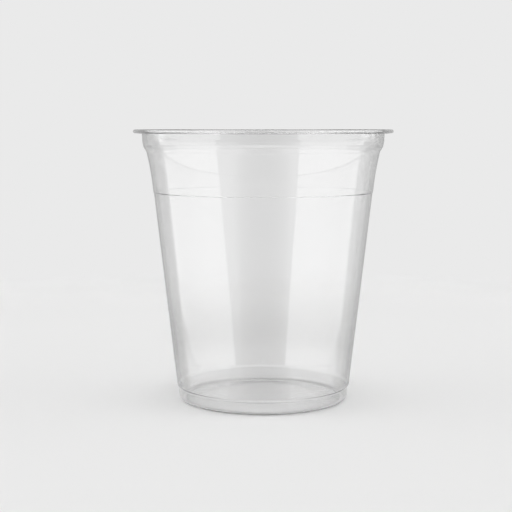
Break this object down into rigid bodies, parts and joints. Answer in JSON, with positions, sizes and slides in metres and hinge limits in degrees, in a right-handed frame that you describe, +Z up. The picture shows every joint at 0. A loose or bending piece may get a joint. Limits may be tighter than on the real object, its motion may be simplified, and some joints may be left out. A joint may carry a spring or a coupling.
{
  "type": "disposable cup",
  "caption": "Clear plastic disposable cup: tapered thin wall with a fine step round it, a stacking shoulder under a rolled rim, and a shallow domed base on a ring foot.",
  "frame": {"origin": "centre of the ring that the cup stands on, at table level", "axes": "+Z up along the cup's axis, from the base to the mouth"},
  "size_m": [0.095, 0.095, 0.0995],
  "materials": {
    "clear_plastic": "clear and glossy, very slightly milky"
  },
  "bodies": {
    "root": {"cup": "clear_plastic"}
  },
  "joints": []
}
